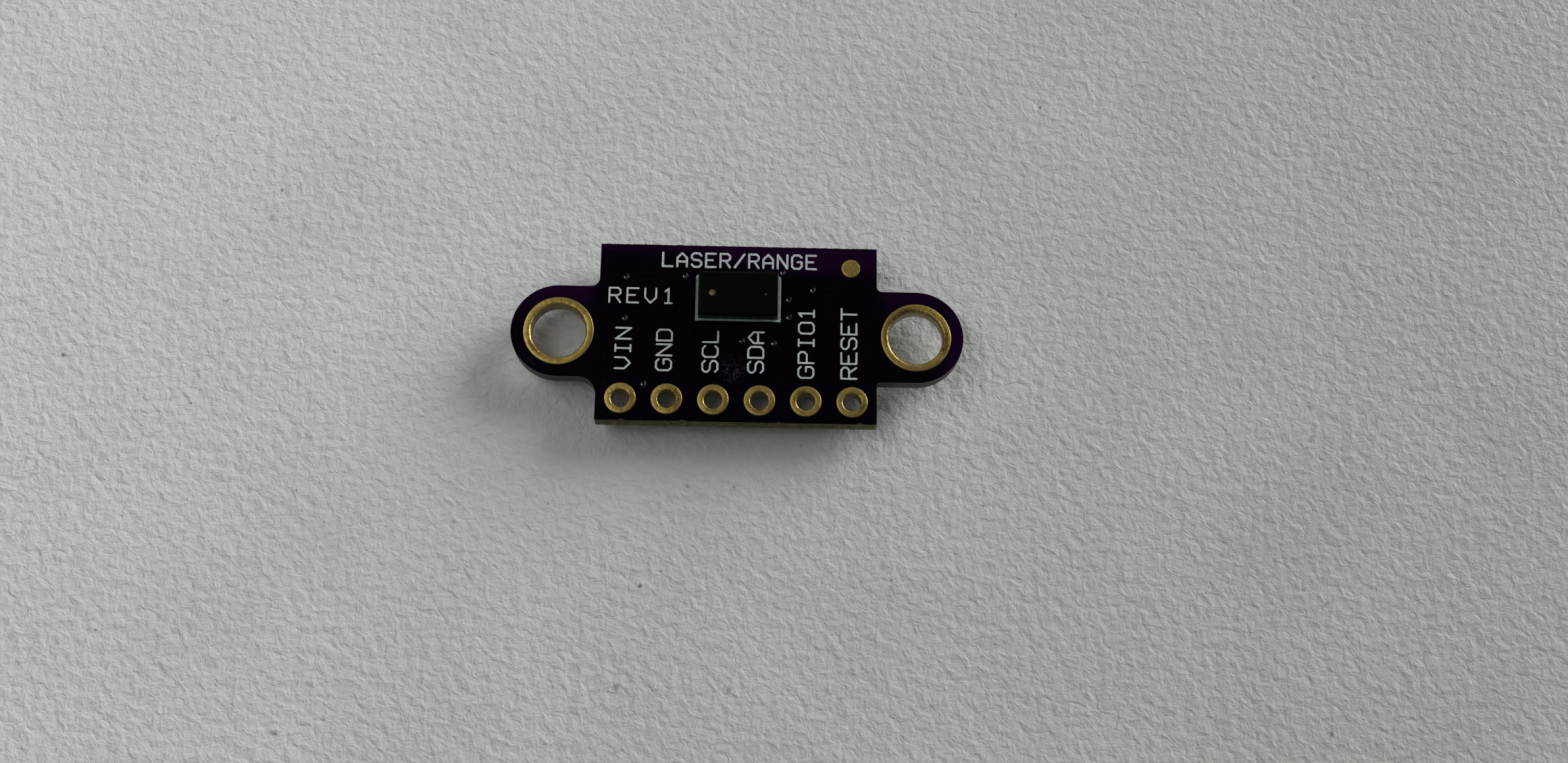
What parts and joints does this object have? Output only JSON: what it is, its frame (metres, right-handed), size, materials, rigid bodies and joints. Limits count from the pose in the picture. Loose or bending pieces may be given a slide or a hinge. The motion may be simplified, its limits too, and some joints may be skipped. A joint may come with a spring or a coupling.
{
  "type": "lidar scanner module",
  "caption": "Small circuit board with two round mounting ears, a row of plated header holes and a black laser time-of-flight sensor that measures distance straight ahead.",
  "frame": {"origin": "middle of the board's rectangle in X and Y, on the plane under the tallest parts on the back, which the module stands on", "axes": "+X along the board towards the ear nearest the receiver opening, +Y from the header row towards the sensor, +Z out of the sensor's face, the way it looks"},
  "size_m": [0.025, 0.0104, 0.0031],
  "materials": {
    "laminate": "glass-fibre epoxy laminate, olive where it is snapped and grey where it is routed",
    "copper": "etched copper foil under the mask",
    "purple_mask": "glossy very dark purple solder mask",
    "gold_plating": "immersion gold over nickel and copper, satin",
    "print": "pale grey printed ink, matte",
    "sensor_cap": "black moulded polymer, satin",
    "package_resin": "black moulding compound, fine matte grain",
    "silicon": "polished silicon",
    "emitter": "laser die with gold contacts",
    "filter_glass": "coated infrared band-pass glass",
    "solder": "bright tin",
    "capacitor_ceramic": "tan fired ceramic",
    "resistor_ceramic": "black glass coat over white alumina"
  },
  "bodies": {
    "root": {"board_laminate": "laminate", "front_copper_plane": "copper", "back_copper_plane": "copper", "front_solder_mask": "purple_mask", "back_solder_mask": "purple_mask", "index_pad": "gold_plating", "left_mounting_ring": "gold_plating", "right_mounting_ring": "gold_plating", "header_hole_1": "gold_plating", "header_hole_2": "gold_plating", "header_hole_3": "gold_plating", "header_hole_4": "gold_plating", "header_hole_5": "gold_plating", "header_hole_6": "gold_plating", "sensor_outline_print": "print", "sensor_cap": "sensor_cap", "sensor_substrate": "package_resin", "regulator_body": "package_resin", "left_level_shifter_body": "package_resin", "right_level_shifter_body": "package_resin", "laser_emitter": "emitter", "receiver_chip": "silicon", "receiver_filter": "filter_glass", "sensor_joint_01": "solder", "sensor_joint_02": "solder", "sensor_joint_03": "solder", "sensor_joint_04": "solder", "sensor_joint_05": "solder", "sensor_joint_06": "solder", "sensor_joint_07": "solder", "sensor_joint_08": "solder", "sensor_joint_09": "solder", "sensor_joint_10": "solder", "sensor_joint_11": "solder", "sensor_joint_12": "solder", "regulator_lead_1": "solder", "regulator_lead_2": "solder", "regulator_lead_3": "solder", "regulator_lead_4": "solder", "regulator_lead_5": "solder", "left_level_shifter_lead_1": "solder", "left_level_shifter_lead_2": "solder", "left_level_shifter_lead_3": "solder", "right_level_shifter_lead_1": "solder", "right_level_shifter_lead_2": "solder", "right_level_shifter_lead_3": "solder", "resistor_1": "resistor_ceramic", "resistor_2": "resistor_ceramic", "resistor_3": "resistor_ceramic", "resistor_4": "resistor_ceramic", "resistor_5": "resistor_ceramic", "resistor_6": "resistor_ceramic", "capacitor_1": "capacitor_ceramic", "capacitor_2": "capacitor_ceramic", "capacitor_3": "capacitor_ceramic", "capacitor_4": "capacitor_ceramic"}
  },
  "joints": []
}
